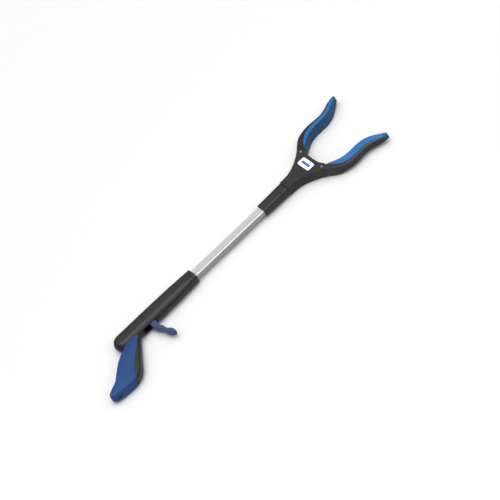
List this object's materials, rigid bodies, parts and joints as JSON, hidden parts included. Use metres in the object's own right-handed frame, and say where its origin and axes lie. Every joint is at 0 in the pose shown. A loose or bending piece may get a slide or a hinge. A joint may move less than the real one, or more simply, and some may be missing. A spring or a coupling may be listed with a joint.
{
  "type": "reacher grabber",
  "caption": "Hand-held reacher with a pistol grip and squeeze trigger, a straight aluminium tube and two padded jaws that close together.",
  "frame": {"origin": "middle of the bounding box in X and Y, on the plane the tool's back lies on", "axes": "+X from the grip towards the jaws, +Y away from the grip, +Z towards the front face with the label"},
  "size_m": [0.6616, 0.1623, 0.024],
  "materials": {
    "black_plastic": "satin, fine moulded texture",
    "grip_rubber": "soft royal blue overmould",
    "trigger_blue": "satin royal blue",
    "jaw_rubber": "soft bright blue overmould",
    "tube_aluminium": "satin anodised",
    "steel": "plain bright steel",
    "natural_plastic": "uncoloured moulding",
    "label_white": "white film with a plain blue bar"
  },
  "bodies": {
    "frame": {"housing_front": "black_plastic", "housing_back": "black_plastic", "housing_screws": "steel", "grip_core": "black_plastic", "grip_cushion": "grip_rubber", "trigger_pin": "steel", "tube": "tube_aluminium", "rod_guides": "natural_plastic", "neck_sleeve": "black_plastic", "sleeve_screw": "steel", "head_front": "black_plastic", "head_back": "black_plastic", "head_screws_set": "steel", "label_plate": "label_white", "return_spring": "steel", "jaw_pins": "steel"},
    "trigger": {"trigger_lever": "trigger_blue", "drive_pin": "steel"},
    "rod": {"pull_rod": "steel", "rod_clevis": "natural_plastic", "crosshead": "natural_plastic"},
    "jaw_upper": {"jaw_upper_arm": "black_plastic", "jaw_upper_pad": "jaw_rubber", "jaw_upper_tail_pin": "steel"},
    "jaw_lower": {"jaw_lower_arm": "black_plastic", "jaw_lower_pad": "jaw_rubber", "jaw_lower_tail_pin": "steel"}
  },
  "joints": [
    {"name": "trigger_hinge", "type": "hinge", "parent": "frame", "child": "trigger", "pos_m": [-0.1752, 0.01538, 0.012], "axis": [0, 0, -1], "range_deg": [0, 26], "stiffness_Nm_per_rad": 0.8, "springref_deg": -14.32},
    {"name": "rod_slide", "type": "slide", "parent": "frame", "child": "rod", "axis": [-1, 0, 0], "range_m": [0, 0.0043], "deforming": ["return_spring"]},
    {"name": "jaw_upper_hinge", "type": "hinge", "parent": "frame", "child": "jaw_upper", "pos_m": [0.2148, 0.035, 0.012], "axis": [0, 0, -1], "range_deg": [0, 31.6]},
    {"name": "jaw_lower_hinge", "type": "hinge", "parent": "frame", "child": "jaw_lower", "pos_m": [0.2148, -0.023, 0.012], "axis": [0, 0, 1], "range_deg": [0, 31.6]}
  ],
  "couplings": [
    {"joint": "rod_slide", "follows": "trigger_hinge", "m_per_rad": 0.009418},
    {"joint": "jaw_upper_hinge", "follows": "trigger_hinge", "ratio": 1.215},
    {"joint": "jaw_lower_hinge", "follows": "trigger_hinge", "ratio": 1.215}
  ]
}
